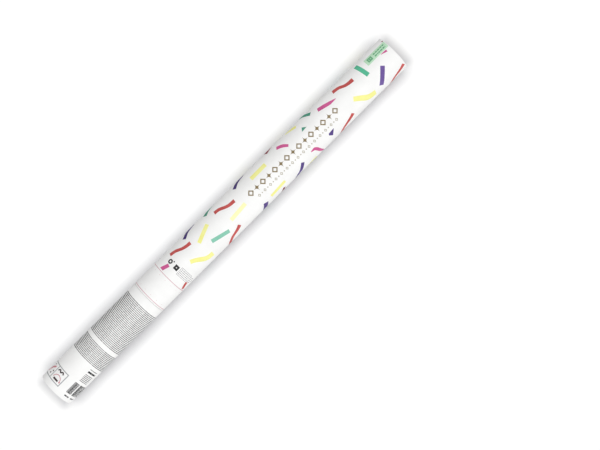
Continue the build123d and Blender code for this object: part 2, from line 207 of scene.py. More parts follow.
# Drawn aluminium: bright, with fine lines along the draw
drawnAluminium = surfaceOf("drawnAluminium", {
    "tones": ("#E2E4E6", "#D2D4D6"), "patchMm": 1.2, "grain": (0.5, 0.01), "rough": (0.26, 0.4),
    "stretch": (0.03, 1, 1), "shader": {"Metallic": 1.0}})

# Tinned steel sheet, pressed: cloudy spangle over a cool grey
tinnedSteel = surfaceOf("tinnedSteel", {
    "tones": ("#DCDDDE", "#C7C9CC"), "patchMm": 4.0, "grain": (0.9, 0.006), "rough": (0.24, 0.42),
    "shader": {"Metallic": 1.0}})

# Hard drawn spring steel: darker, with a dry oiled sheen
springSteel = surfaceOf("springSteel", {
    "tones": ("#B4B6B9", "#97999D"), "patchMm": 1.5, "grain": (0.4, 0.006), "rough": (0.28, 0.4),
    "stretch": (1, 0.3, 0.3), "shader": {"Metallic": 1.0}})

# Moulded nitrile rubber: black with a dusty bloom
nitrileRubber = surfaceOf("nitrileRubber", {
    "tones": ("#2A2A2A", "#1D1D1E"), "patchMm": 2.5, "grain": (0.4, 0.01), "rough": (0.6, 0.75),
    "shader": {"IOR": 1.52}})

# Pressed wool felt: a matted grey with lighter hairs and a fuzzy edge light
woolFelt = surfaceOf("woolFelt", {
    "tones": ("#D2CFC9", "#B3AFA7"), "patchMm": 1.6, "grain": (0.7, 0.25), "rough": (0.92, 1.0),
    "shader": {"Sheen Weight": 0.4, "Specular IOR Level": 0.1}})

# Dyed tissue paper: thin and soft, with fine crepe fibres, each leaf a little lighter or deeper than the next
tissueLook = {"patchMm": 7.0, "grain": (0.8, 0.04), "rough": (0.72, 0.88), "stretch": (0.4, 1, 1),
              "leafValues": (0.84, 1.08), "shader": {"Specular IOR Level": 0.15, "Sheen Weight": 0.15}}


def leafShades(tree, look, place, tones):
    island = addNode(tree, "NewGeometry").outputs["Random Per Island"]
    valueRange = dict(zip(("To Min", "To Max"), look["leafValues"]))
    value = addNode(tree, "MapRange", valueRange, {"Value": island})
    return addNode(tree, "HueSaturation", links={"Color": tones, "Value": value}).outputs[0]


def tissuePaper(name, tones):
    return surfaceOf(name, {**tissueLook, "tones": tones}, leafShades)


# Offset ink on the paper: flat colour that deepens a little in soft patches, with the paper's satin
def printedInk(name, tones, patchMm=13.0, metallic=0.0):
    return surfaceOf(name, {
        "tones": tones, "patchMm": patchMm, **paperGrain,
        "shader": {"IOR": 1.5, "Specular IOR Level": 0.05, "Metallic": metallic}})


print("finishes made")


# Floor and light: a white sweep under soft overhead light, with a broad key from the -Y side
studio = {
    # the floor's painted shadow: its tone, the reach of the occlusion under the tube, and the box and fade
    # past the ends
    "floorHalf": 6.0, "floorDrop": 0.0001, "floor": "#FFFFFF", "paintedShadow": "#DADADC", "haloMm": 26.0,
    "haloFrom": 0.5, "haloSamples": 16, "endHaloMm": (308.5, 18.0, 1.5), "endFadeMm": (-1.0, 12.5),
    "ambient": 0.30,
    "lamps": {
        "floorLamp": {"tilt": 0.0, "wide": 62.0, "level": 0.74, "floorLink": "INCLUDE"},
        "keyLamp": {"tilt": 13.0, "wide": 30.0, "level": 0.74, "floorLink": "EXCLUDE"},
        "sideLamp": {"tilt": 90.0, "wide": 60.0, "level": 0.05, "floorLink": "EXCLUDE"},
    },
}


def floorPaint():
    paint = bpy.data.materials.new("mattFloor")
    paint.use_nodes = True
    tree = paint.node_tree
    matt = tree.nodes["Principled BSDF"]
    # painted shadow: the floor's colour darkens close under the tube, where a big soft light can't reach
    near = addNode(tree, "AmbientOcclusion", {"Distance": studio["haloMm"] / mmPerMetre},
                   samples=studio["haloSamples"])
    openShare = addNode(tree, "MapRange", {"From Min": studio["haloFrom"], "From Max": 1.0},
                        {"Value": near.outputs["AO"]})
    # and a painted shadow a little past both ends, by the distance from the tube's outline on the floor
    halfLong, halfWide, shift = (size / mmPerMetre for size in studio["endHaloMm"])
    place = addNode(tree, "TexCoord").outputs["Object"]
    centred = addNode(tree, "VectorMath", {1: (shift, 0, 0)}, {0: place}, operation="ADD")
    folded = addNode(tree, "VectorMath", links={0: centred}, operation="ABSOLUTE")
    past = addNode(tree, "VectorMath", {1: (halfLong, halfWide, 1)}, {0: folded}, operation="SUBTRACT")
    outside = addNode(tree, "VectorMath", {1: (0, 0, 0)}, {0: past}, operation="MAXIMUM")
    away = addNode(tree, "VectorMath", links={0: outside}, operation="LENGTH")
    fadeFrom, fadeTo = (size / mmPerMetre for size in studio["endFadeMm"])
    endShare = addNode(tree, "MapRange", {"From Min": fadeFrom, "From Max": fadeTo},
                       {"Value": away.outputs["Value"]})
    share = addNode(tree, "Math", links={0: openShare, 1: endShare}, operation="MINIMUM")
    # the floor's colour runs from the painted shadow tone to white
    tone = addNode(tree, "Mix", {6: hexLinear(studio["paintedShadow"]), 7: hexLinear(studio["floor"])}, {0: share},
                   data_type="RGBA")
    tree.links.new(tone.outputs[2], matt.inputs["Base Color"])
    matt.inputs["Roughness"].default_value = 1.0
    matt.inputs["Specular IOR Level"].default_value = 0.0
    return paint


def buildFloor():
    half, height = studio["floorHalf"], -studio["floorDrop"]
    corners = [(-half, -half, height), (half, -half, height), (half, half, height), (-half, half, height)]
    mesh = bpy.data.meshes.new("studioFloor")
    mesh.from_pydata(corners, [], [(0, 1, 2, 3)])
    mesh.materials.append(floorPaint())
    made = addObject("studioFloor", mesh)
    return made


def softLamp(name, setting, floor):
    # level is the brightness that a white surface square to the lamp takes from it,
    # and the link keeps the lamp to the floor or off it
    data = bpy.data.lights.new(name, "SUN")
    data.energy = setting["level"] * math.pi
    data.angle = math.radians(setting["wide"])
    lamp = addObject(name, data)
    lamp.rotation_euler = (math.radians(setting["tilt"]), 0.0, 0.0)
    receivers = bpy.data.collections.new(name + "Receivers")
    receivers.objects.link(floor)
    receivers.collection_objects[0].light_linking.link_state = setting["floorLink"]
    lamp.light_linking.receiver_collection = receivers


def whiteSurround():
    # a dimmer white for the light it gives, full white where the camera, gloss or glass sees it
    world = bpy.data.worlds.new("whiteSurround")
    bpy.context.scene.world = world
    world.use_nodes = True
    tree = world.node_tree
    tree.nodes.clear()
    rays = addNode(tree, "LightPath").outputs
    seenOrGloss = addNode(tree, "Math", links={0: rays["Is Camera Ray"], 1: rays["Is Glossy Ray"]},
                          operation="MAXIMUM")
    seen = addNode(tree, "Math", links={0: seenOrGloss, 1: rays["Is Transmission Ray"]}, operation="MAXIMUM")
    strength = addNode(tree, "MapRange", {"To Min": studio["ambient"], "To Max": 1.0}, {"Value": seen})
    sky = addNode(tree, "Background", {"Color": (1, 1, 1, 1)}, {"Strength": strength})
    addNode(tree, "OutputWorld", links={"Surface": sky})


studioFloor = buildFloor()
for lampName, lampSetting in studio["lamps"].items():
    softLamp(lampName, lampSetting, studioFloor)
whiteSurround()
print("floor and light set")


# Mesh helpers: a shape is a list of points in metres and a list of faces
meshRules = {"weld": 1e-7, "brickWeld": 1e-6, "sharp": 35.0, "mostEased": 0.45, "onAxis": 1e-6}


def emptyShape():
    return {"points": [], "faces": []}


def makePiece(name, shape, material, body, node=None, sharp=meshRules["sharp"]):
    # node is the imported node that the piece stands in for
    mesh = bpy.data.meshes.new(name)
    mesh.from_pydata(shape["points"], [], shape["faces"])
    clean = bmesh.new()
    clean.from_mesh(mesh)
    bmesh.ops.remove_doubles(clean, verts=clean.verts, dist=meshRules["weld"])
    bmesh.ops.recalc_face_normals(clean, faces=clean.faces)
    clean.to_mesh(mesh)
    clean.free()
    mesh.shade_smooth()
    mesh.set_sharp_from_angle(angle=math.radians(sharp))
    mesh.materials.append(material)
    piece = addObject(name, mesh)
    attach(piece, body)
    if node:
        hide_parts(node)
    return piece


# A slab between an upper and a lower grid of points, closed round its edge.
# A looped grid joins its last row to its first.
def addSlab(shape, upper, lower, looped=False):
    first = len(shape["points"])
    rows, columns = len(upper), len(upper[0])
    for row in [*upper, *lower]:
        shape["points"].extend(row)

    def top(row, column):
        return first + row % rows * columns + column

    def under(row, column):
        return top(row, column) + rows * columns

    def addWall(start, end):
        shape["faces"].append((top(*start), top(*end), under(*end), under(*start)))

    for row in range(rows if looped else rows - 1):
        for column in range(columns - 1):
            corners = [(row, column), (row + 1, column), (row + 1, column + 1), (row, column + 1)]
            shape["faces"].append(tuple(top(*corner) for corner in corners))
            # the underside runs the other way round
            shape["faces"].append(tuple(under(*corners[-at]) for at in range(4)))
        for column in (0, columns - 1):
            addWall((row, column), (row + 1, column))
    if not looped:
        for row in (0, rows - 1):
            for column in range(columns - 1):
                addWall((row, column), (row, column + 1))


def pointAt(station, degrees, radius):
    turn = math.radians(degrees)
    across = -radius * math.sin(turn) / mmPerMetre
    above = radius * math.cos(turn) / mmPerMetre
    return (baseX + station / mmPerMetre, across, axisZ + above)


# Corners of an outline eased by small curves
def eased(outline, reach, closed=True, steps=4):
    made = []
    count = len(outline)
    for at, corner in enumerate(outline):
        if not closed and at in (0, count - 1):
            made.append(corner)
            continue
        here = Vector(corner)
        toBefore = Vector(outline[at - 1]) - here
        toAfter = Vector(outline[(at + 1) % count]) - here
        start = here + toBefore.normalized() * min(reach, toBefore.length * meshRules["mostEased"])
        end = here + toAfter.normalized() * min(reach, toAfter.length * meshRules["mostEased"])
        for step in range(steps + 1):
            share = step / steps
            made.append(tuple(start * (1 - share) ** 2 + here * 2 * share * (1 - share) + end * share ** 2))
    return made


# Turns an outline of (station, radius) round the tube's axis. An open outline starts and ends on the axis.
def turnedShape(outline, closed=True, segments=160, wobble=None):
    shape = emptyShape()
    rings = []
    for station, radius in outline:
        first = len(shape["points"])
        if radius < meshRules["onAxis"]:
            shape["points"].append(pointAt(station, 0, 0))
            rings.append([first] * segments)
            continue
        for segment in range(segments):
            degrees = 360 * segment / segments
            extra = wobble(station, degrees) if wobble else 0.0
            shape["points"].append(pointAt(station, degrees, radius + extra))
        rings.append(list(range(first, first + segments)))
    pairs = list(zip(rings, rings[1:]))
    if closed:
        pairs.append((rings[-1], rings[0]))
    for ring, after in pairs:
        for segment in range(segments):
            beside = (segment + 1) % segments
            corners = dict.fromkeys((ring[segment], ring[beside], after[beside], after[segment]))
            if len(corners) > 2:
                shape["faces"].append(tuple(corners))
    return shape


# Paper tubes: a wound board core under one sheet of printed paper, which laps over itself low at the back
wrapSheet = {
    "thick": 0.12, "lapEdge": -148.0, "lapWidth": 8.0, "climb": 1.5, "columns": 200, "rowMm": 2.5,
    "windDip": 0.03, "windSpread": 2.4, "endSteps": ((0.0, 0.09), (0.08, 0.03), (0.25, 0.0)),
    "justPast": 1e-6, "sharp": 25.0,
}
boardCore = {"wall": 2.2, "gap": 0.01, "plies": 6, "plyDip": 0.09, "dipShare": 0.2, "endInset": 0.05,
             "ease": 0.1, "easeSteps": 2}


def skinRadius(station, degrees):
    # the sheet stands proud on its lap, and sinks a hair over the joints of the board
    behind = (wrapSheet["lapEdge"] - degrees) % 360 * mmPerDegree
    climbed = (wrapSheet["lapWidth"] + wrapSheet["climb"] - behind) / wrapSheet["climb"]
    lift = wrapSheet["thick"] * max(0.0, min(1.0, climbed))
    wound = (station + windMm * degrees / 360) % windMm
    toJoint = min(wound, windMm - wound)
    return tubeRadius + lift - wrapSheet["windDip"] * math.exp(-(toJoint / wrapSheet["windSpread"]) ** 2)


def wrapShape(low, high):
    rowCount = math.ceil((high - low) / wrapSheet["rowMm"])
    middle = [low + (high - low) * row / rowCount for row in range(1, rowCount)]
    drops = dict(wrapSheet["endSteps"])
    stations = [low + step for step in drops] + middle + [high - step for step in reversed(drops)]
    inner = tubeRadius - wrapSheet["thick"]
    upper, lower = [], []
    for column in range(wrapSheet["columns"] + 1):
        degrees = wrapSheet["lapEdge"] + 360 * column / wrapSheet["columns"]
        if column == 0:
            degrees += wrapSheet["justPast"]
        upperRow = []
        for station in stations:
            toEnd = round(min(station - low, high - station), 4)
            radius = skinRadius(station, degrees) - drops.get(toEnd, 0.0)
            upperRow.append(pointAt(station, degrees, radius))
        upper.append(upperRow)
        lower.append([pointAt(station, degrees, inner) for station in stations])
    shape = emptyShape()
    addSlab(shape, upper, lower, looped=True)
    return shape


def coreShape(low, high):
    outer = tubeRadius - wrapSheet["thick"] - boardCore["gap"]
    bore = tubeRadius - boardCore["wall"]
    ply = (outer - bore) / boardCore["plies"]

    def cutEnd(station, inward):
        # the cut end shows each ply as a low ridge
        crest = station + inward * boardCore["endInset"]
        dip = station + inward * (boardCore["endInset"] + boardCore["plyDip"])
        reach = ply * boardCore["dipShare"]
        ridges = [(crest, bore)]
        for number in range(1, boardCore["plies"]):
            seam = bore + ply * number
            ridges += [(crest, seam - reach), (dip, seam), (crest, seam + reach)]
        return ridges + [(crest, outer)]

    outline = cutEnd(low, 1) + list(reversed(cutEnd(high, -1)))
    return turnedShape(eased(outline, boardCore["ease"], steps=boardCore["easeSteps"]))


def buildTube(body, node):
    low, high = endStations(node)
    makePiece(body + "_core", coreShape(low, high), woundGreyboard, body, node)
    makePiece(body + "_wrap", wrapShape(low, high), coatedPaper, body, node,
              wrapSheet["sharp"])


buildTube("barrel", "barrel_tube")
buildTube("grip", "grip_tube")
print("paper tubes built")


# Print: thin films of ink on the sheet. Thicker than real ink, so that they lie clear of the paper.
inkFilm = {"proud": 0.03, "sunk": 0.05, "stepMm": 1.0, "pinhole": 0.05, "corners": 48, "shortestShare": 0.4}


def inkSteps(length):
    return max(1, math.ceil(length / inkFilm["stepMm"]))


def addFilm(shape, grid, looped=False):
    # grid rows hold (station, mm round the tube) on the sheet laid flat
    def raised(lift):
        return [[pointAt(station, along / mmPerDegree, skinRadius(station, along / mmPerDegree) + lift)
                 for station, along in row] for row in grid]

    above, below = shape.get("lifts", (inkFilm["proud"], -inkFilm["sunk"]))
    addSlab(shape, raised(above), raised(below), looped)


def layPrint(name, shape, inkName, tones, body="barrel", **look):
    makePiece(name, shape, printedInk(inkName, tones, **look), body)


def flat(point):
    return Vector((point[0], point[1] * mmPerDegree))


# A smooth line along a path on the sheet, as (place, heading) pairs about a millimetre apart
def smoothLine(path):
    points = [flat(point) for point in path]
    ends = [points[0] * 2 - points[1], *points, points[-1] * 2 - points[-2]]
    line = []
    for before, start, end, after in zip(ends, ends[1:], ends[2:], ends[3:]):
        reach = end - before
        bend = before * 2 - start * 5 + end * 4 - after
        turn = start * 3 - before - end * 3 + after
        steps = inkSteps((end - start).length)
        for step in range(steps + (end is points[-1])):
            share = step / steps
            place = (start * 2 + reach * share + bend * share ** 2 + turn * share ** 3) / 2
            heading = reach + bend * 2 * share + turn * 3 * share ** 2
            line.append((place, heading.normalized()))
    return line


def addStrip(shape, path, width):
    # width is one number, or several spaced evenly along the strip
    widths = width if isinstance(width, tuple) else (width, width)
    line = smoothLine(path)
    columns = inkSteps(max(widths))
    grid = []
    for number, (place, heading) in enumerate(line):
        reach = number / (len(line) - 1) * (len(widths) - 1)
        step = min(int(reach), len(widths) - 2)
        half = (widths[step] + (widths[step + 1] - widths[step]) * (reach - step)) / 2
        side = Vector((-heading.y, heading.x))
        grid.append([place + side * half * (2 * column / columns - 1) for column in range(columns + 1)])
    addFilm(shape, grid)


def addScrap(shape, corners):
    # a scrap with three or four corners; a triangle takes the middle of its last side as a fourth
    places = [flat(corner) for corner in corners]
    if len(places) == 3:
        places.append((places[2] + places[0]) / 2)
    first, second, third, fourth = places
    rows = inkSteps(max((fourth - first).length, (third - second).length))
    columns = inkSteps(max((second - first).length, (third - fourth).length))
    grid = []
    for row in range(rows + 1):
        start, end = first.lerp(fourth, row / rows), second.lerp(third, row / rows)
        grid.append([start.lerp(end, column / columns) for column in range(columns + 1)])
    addFilm(shape, grid)


def boxCorners(low, high, start, end):
    return [(low, start), (high, start), (high, end), (low, end)]


def addBlock(shape, *box):
    addScrap(shape, boxCorners(*box))


def addBlob(shape, centre, radiusAt, hole=inkFilm["pinhole"], corners=inkFilm["corners"]):
    # a ring, dot or star about a centre, out to radiusAt(angle) in mm
    middle = flat(centre)
    angles = [math.tau * corner / corners for corner in range(corners)]
    columns = inkSteps(max(map(radiusAt, angles)) - hole)
    grid = []
    for angle in angles:
        ray = Vector((math.cos(angle), math.sin(angle)))
        room = radiusAt(angle) - hole
        grid.append([middle + ray * (hole + room * column / columns) for column in range(columns + 1)])
    addFilm(shape, grid, looped=True)


def addDot(shape, centre, radius, hole=inkFilm["pinhole"]):
    addBlob(shape, centre, lambda angle: radius, hole)


def addFrame(shape, corners, stroke):
    # an outline of even stroke inside the corners given
    places = [flat(corner) for corner in corners]
    count = len(places)
    inner = []
    for at, here in enumerate(places):
        toBefore = (places[at - 1] - here).normalized()
        toAfter = (places[(at + 1) % count] - here).normalized()
        bisector = (toBefore + toAfter).normalized()
        halfAngle = math.acos(max(-1.0, min(1.0, toBefore.dot(toAfter)))) / 2
        inner.append(here + bisector * stroke / math.sin(halfAngle))
    grid = []
    for at in range(count):
        after = (at + 1) % count
        steps = inkSteps((places[after] - places[at]).length)
        for step in range(steps):
            share = step / steps
            grid.append([places[at].lerp(places[after], share), inner[at].lerp(inner[after], share)])
    addFilm(shape, grid, looped=True)


def dashSpans(at, end, lengths, gap, draw):
    while at < end:
        length = min(draw.uniform(*lengths), end - at)
        yield at, at + length
        at += length + gap


def addDashes(shape, station, high, start, end, lengths, gap, draw):
    # one row of plain dashes round the tube, from start to end degrees
    for near, far in dashSpans(start * mmPerDegree, end * mmPerDegree, lengths, gap, draw):
        if far - near > high * inkFilm["shortestShare"]:
            addBlock(shape, station - high / 2, station + high / 2, near / mmPerDegree, far / mmPerDegree)


# Confetti strips scattered over the barrel, by ink: (width in mm, points along the strip).
# Several widths are spaced evenly along their strip.
waveWide = (5.4, 4.8, 4.3, 4.5, 5.0)
edgeWide = (5.6, 5.2, 4.5, 4.9, 5.3)
strips = {
    "red": [
        (waveWide, [(222.5, -46.5), (230.5, -41.5), (238, -31.5), (245, -26.5), (251.5, -25)]),
        (4.4, [(202.5, 71), (205.5, 65.5), (209, 61.5), (212.5, 59)]),
        (edgeWide, [(284.5, 90), (287.5, 75.5), (293, 62.5), (299, 56.5), (304.5, 52), (310.5, 44.5)]),
        (waveWide, [(298.5, -39.5), (305, -37), (312, -28.5), (318.5, -22.5), (327.5, -20.5)]),
        (edgeWide, [(482.5, 96), (486.5, 79), (491.5, 69), (498, 62), (504.5, 56), (509.5, 50)]),
        ((5.9, 5.2, 4.4, 4.9, 5.6), [(509.5, -47), (518, -42.5), (525.5, -32), (532, -28), (538.5, -27)]),
        (edgeWide, [(570, 100), (574, 84.5), (579.5, 72.5), (586.5, 65.5), (592.5, 60), (598, 53.5)]),
    ],
    "maroon": [
        ((9.2, 8.4, 6.6, 5.4), [(395.5, -72.5), (399.5, -77.5), (404, -85), (409, -97), (414, -110)]),
        (4.0, [(383.5, 71), (380, 84), (376, 100)]),
        (1.6, [(597.8, -53), (599.4, -50)]),
    ],
    "violet": [
        ((5.8, 6.0, 6.6), [(576.5, 7), (568, 28.5), (559.5, 51)]),
    ],
    "midViolet": [
        (7.2, [(353.5, 57.5), (349, 80), (345, 106)]),
        ((5.0, 5.6, 6.4), [(421.5, 46.5), (416.5, 61), (412.5, 71.5), (408, 79), (403, 91)]),
    ],
    # violet printed deeper on the strips round the shaded side: partly a deeper print, partly painted shade
    "deepAndShadedViolet": [
        ((5.4, 5.8, 7.2, 7.8), [(248.5, -51.5), (252, -58.5), (255, -66.5), (258, -72.5), (262, -77.5),
                                (267, -84), (271, -92)]),
        ((5.4, 5.8, 6.8, 7.6), [(337, -51.5), (340, -57.5), (343, -65), (346, -70.5), (350, -76),
                                (354, -81.5), (358, -90)]),
    ],
    "yellow": [
        ((5.0, 5.6), [(259, -5.5), (282.5, -29)]),
        ((5.4, 5.8, 6.8, 7.6, 8.0), [(234.5, 15.5), (239, 21), (243.5, 28.5), (250.5, 43), (255.5, 48.5),
                                     (262, 50.5)]),
        (6.2, [(361, -33), (386.5, -33.5)]),
        ((5.2, 4.8, 3.6, 2.0), [(447, -55.5), (441, -61), (435, -66), (430.5, -70)]),
        (4.7, [(364, 53.5), (389.5, 49)]),
        (6.0, [(421, 99), (431, 86.5), (440, 83)]),
        ((6.2, 7.0, 8.0, 8.6, 8.4), [(521.5, 16), (529, 30), (536.5, 46), (542.5, 52), (548.5, 54.5)]),
    ],
    # yellow printed paler on the one strip in the brightest light: a painted highlight
    "paintedHighlightYellow": [
        (5.2, [(307.5, 13.5), (334.5, 8.5)]),
    ],
    "mint": [
        (5.3, [(271.5, 17.5), (296.5, 33.5)]),
    ],
    "green": [
        (5.8, [(552.5, -57), (556, -3)]),
    ],
    "deepGreen": [
        ((6.0, 6.4, 7.4), [(287, -60.5), (290.5, -68.5), (293, -75), (296, -79), (299, -85), (302, -94)]),
        ((5.2, 5.4, 5.0), [(471, -49), (467.5, -58), (464, -69), (460.5, -77.5), (455, -95)]),
    ],
    "magenta": [
        ((5.2, 5.0, 3.4), [(410.5, -47.5), (417.5, -37.5), (423.5, -23)]),
        ((1.4, 4.2, 4.6, 4.3, 3.4, 2.8), [(438, 41), (441, 41), (444, 42), (446.5, 50), (449.5, 69),
                                          (452.5, 86)]),
        ((5.4, 5.6, 4.8, 0.8), [(480.5, -38.5), (489.5, -32), (497, -26.5), (506.5, -22.5)]),
        ((0.6, 3.2), [(585, -20), (593.8, -15.8)]),
    ],
}
scraps = {
    "magenta": [(203, -39), (202.5, -25), (212, -17.5), (213.5, -28.5)],
    "deepGreen": [(451, -34.5), (447.5, -23), (456, -24.5)],
    "midViolet": [(469.5, 39), (479, 37), (472.5, 56), (468.5, 45)],
}
stripInks = {
    "red": ("#CD615E", "#BC5452"), "maroon": ("#84102C", "#760A24"), "violet": ("#7B67A6", "#6B5496"),
    # the deeper violet is partly painted shade
    "midViolet": ("#63528F", "#554481"), "deepAndShadedViolet": ("#544581", "#483872"),
    # the paler yellow is a painted highlight
    "yellow": ("#F9F8A6", "#F4F192"), "paintedHighlightYellow": ("#FBFAC4", "#F8F6B6"), "mint": ("#92CFB9", "#86C5AE"),
    "green": ("#66C4A0", "#56B692"), "deepGreen": ("#57A189", "#4B947C"), "magenta": ("#D4659A", "#C65890"),
}
farSide = {"tries": ((180.0, 800.0), (205.0, 812.0), (150.0, 790.0), (228.0, 806.0)), "edge": 97.0,
           "stations": (208.0, 595.0), "clearMm": 8.0, "lapClearMm": 3.0}


def isClear(places, taken):
    # clear of the side in view, of the tube's ends, of the lap and of the other strips
    around = 360 * mmPerDegree
    lapReach = wrapSheet["lapWidth"] + wrapSheet["climb"]
    lapStart = wrapSheet["lapEdge"] * mmPerDegree - lapReach - farSide["lapClearMm"]
    for place in places:
        fromTop = abs((place.y + around / 2) % around - around / 2)
        if fromTop < farSide["edge"] * mmPerDegree:
            return False
        if not farSide["stations"][0] < place.x < farSide["stations"][1]:
            return False
        if (place.y - lapStart) % around < lapReach + 2 * farSide["lapClearMm"]:
            return False
        for other in taken:
            apart = (place.y - other.y + around / 2) % around - around / 2
            if math.hypot(place.x - other.x, apart) < farSide["clearMm"]:
                return False
    return True


def linePlaces(path):
    return [place for place, heading in smoothLine(path)]


def buildStrips():
    shapes = {ink: emptyShape() for ink in stripInks}
    taken = []
    seen = [(ink, width, path) for ink, entries in strips.items() for width, path in entries]
    for ink, width, path in seen:
        addStrip(shapes[ink], path, width)
        taken += linePlaces(path)
    for ink, corners in scraps.items():
        addScrap(shapes[ink], corners)
    # the strips go on round the back, turned over and in mirrored order
    for turn, mirrorSum in farSide["tries"]:
        for ink, width, path in seen:
            copied = [(mirrorSum - station, degrees + turn) for station, degrees in path]
            places = linePlaces(copied)
            if isClear(places, taken):
                addStrip(shapes[ink], copied, width)
                taken += places
    for ink, tones in stripInks.items():
        layPrint("print_" + ink, shapes[ink], ink + "Ink", tones)


buildStrips()
print("confetti print laid")


# Two rows of plain ornaments along the barrel: gold diamonds and sparks, and small pale diamonds and dots
goldRow = {"start": (348.5, -1.5), "end": (495.0, 2.0), "motifs": 15, "high": 9.4, "wide": 9.4, "stroke": 1.5,
           "spark": 5.2, "sparkCorners": 64, "patchMm": 5.0, "metallic": 0.15, "ink": ("#897A5D", "#7E6F53")}
paleRow = {"start": (354.3, 21.0), "end": (489.0, 23.5), "motifs": 29, "high": 4.8, "wide": 4.2,
           "stroke": 0.9, "dot": 0.9, "patchMm": 5.0, "ink": ("#BFBBAE", "#B6B1A3")}


def rowPlaces(row):
    for number in range(row["motifs"]):
        share = number / (row["motifs"] - 1)
        yield number, [start + (end - start) * share for start, end in zip(row["start"], row["end"])]


def addDiamond(shape, row, place):
    halfHigh, halfWide = row["high"] / 2 / mmPerDegree, row["wide"] / 2
    station, middle = place
    addFrame(shape, [(station - halfWide, middle), (station, middle - halfHigh),
                     (station + halfWide, middle), (station, middle + halfHigh)], row["stroke"])


def sparkReach(angle):
    # a four-pointed spark with hollow sides
    return goldRow["spark"] / (math.sqrt(abs(math.cos(angle))) + math.sqrt(abs(math.sin(angle)))) ** 2


def buildOrnaments():
    gold, pale = emptyShape(), emptyShape()
    for number, place in rowPlaces(goldRow):
        if number % 2:
            addBlob(gold, place, sparkReach, corners=goldRow["sparkCorners"])
        else:
            addDiamond(gold, goldRow, place)
    for number, place in rowPlaces(paleRow):
        if number % 2:
            addDot(pale, place, paleRow["dot"])
        else:
            addDiamond(pale, paleRow, place)
    layPrint("print_gold", gold, "goldBronzeInk", goldRow["ink"], patchMm=goldRow["patchMm"],
             metallic=goldRow["metallic"])
    layPrint("print_pale", pale, "paleGoldInk", paleRow["ink"], patchMm=paleRow["patchMm"])


buildOrnaments()


# Twist zone: two thin ring lines with faint ticks inside them
twistZone = {"rings": (167.1, 200.5), "thick": 0.9, "segments": 180, "ticks": (171.0, 196.3),
             "tickDegrees": 24.0, "tickMm": 1.2, "tickThick": 0.4, "ink": ("#DCBCC1", "#D3B0B6")}


def buildTwistZone():
    lines = emptyShape()
    half, turns = twistZone["thick"] / 2, twistZone["segments"]
    for station in twistZone["rings"]:
        grid = [[(station + side, 360 * turn / turns * mmPerDegree) for side in (-half, half)]
                for turn in range(turns)]
        addFilm(lines, grid, looped=True)
    halfTick = twistZone["tickThick"] / 2
    for station in twistZone["ticks"]:
        for number in range(round(360 / twistZone["tickDegrees"])):
            start = twistZone["tickDegrees"] * number
            end = start + twistZone["tickMm"] / mmPerDegree
            addBlock(lines, station - halfTick, station + halfTick, start, end)
    layPrint("print_twist_rings", lines, "rosePinkInk", twistZone["ink"])


# Small marks above the twist zone: a ring, a dot, a square with a window, and fine dashes in and past a box
smallMarks = {"ring": (217.5, -28.0), "ringRadius": 3.2, "ringStroke": 1.9, "dot": (220.6, -18.5),
              "dotRadius": 0.9, "square": (214.0, 220.6, -8.5, 6.3), "window": (216.7, 217.9, -2.7, 0.6),
              "box": (211.6, 222.8, 10.6, 56.5), "boxStroke": 0.45, "boxRoom": 3.0, "past": (58.5, 74.0),
              "rows": 4, "dash": (1.0, 3.4), "dashHigh": 0.8, "gap": 0.7, "seed": 11,
              "black": ("#3A3A3C", "#2E2E30"), "grey": ("#9C9C9F", "#919194")}


def buildSmallMarks():
    black, grey = emptyShape(), emptyShape()
    hole = smallMarks["ringRadius"] - smallMarks["ringStroke"]
    addDot(black, smallMarks["ring"], smallMarks["ringRadius"], hole)
    addDot(black, smallMarks["dot"], smallMarks["dotRadius"])
    low, high, start, end = smallMarks["square"]
    innerLow, innerHigh, innerStart, innerEnd = smallMarks["window"]
    addBlock(black, low, high, start, innerStart)
    addBlock(black, low, high, innerEnd, end)
    addBlock(black, low, innerLow, innerStart, innerEnd)
    addBlock(black, innerHigh, high, innerStart, innerEnd)
    low, high, start, end = smallMarks["box"]
    addFrame(grey, boxCorners(*smallMarks["box"]), smallMarks["boxStroke"])
    draw = random.Random(smallMarks["seed"])
    pitch = (high - low) / (smallMarks["rows"] + 1)
    inBox = (start + smallMarks["boxRoom"], end - smallMarks["boxRoom"])
    for row in range(1, smallMarks["rows"] + 1):
        for span in (inBox, smallMarks["past"]):
            addDashes(grey, low + pitch * row, smallMarks["dashHigh"], *span, smallMarks["dash"],
                      smallMarks["gap"], draw)
    layPrint("print_black", black, "blackInk", smallMarks["black"])
    layPrint("print_fine", grey, "paleGreyInk", smallMarks["grey"])


buildTwistZone()
buildSmallMarks()


# Pale green stick-on label near the muzzle: a thin sheet of its own, with a square and two rows of dashes
label = {"box": (564.2, 599.4, -47.0, -22.0), "thick": 0.09, "inkClear": 0.02,
         "square": (567.6, 575.0, -41.5, -27.5), "squareStroke": 1.9, "dot": 1.2, "rows": (-38.5, -29.5),
         "rowMm": (578.5, 596.5), "dash": (1.4, 3.6), "dashHigh": 2.0, "gap": 0.7, "seed": 5,
         "paper": ("#C6E9CB", "#BCE2C3"), "ink": ("#74B48A", "#6AAA80")}


def buildLabel():
    inkTop = label["thick"] + label["inkClear"]
    sheet = {**emptyShape(), "lifts": (label["thick"], -inkFilm["sunk"])}
    marks = {**emptyShape(), "lifts": (inkTop, inkTop - inkFilm["proud"] - inkFilm["sunk"])}
    addBlock(sheet, *label["box"])
    addFrame(marks, boxCorners(*label["square"]), label["squareStroke"])
    low, high, start, end = label["square"]
    addDot(marks, ((low + high) / 2, (start + end) / 2), label["dot"])
    draw = random.Random(label["seed"])
    half = label["dashHigh"] / 2 / mmPerDegree
    for row in label["rows"]:
        for near, far in dashSpans(*label["rowMm"], label["dash"], label["gap"], draw):
            addBlock(marks, near, far, row - half, row + half)
    layPrint("label_sheet", sheet, "mattLabelPaper", label["paper"])
    layPrint("label_marks", marks, "labelGreenInk", label["ink"])


buildLabel()
print("barrel marks laid")


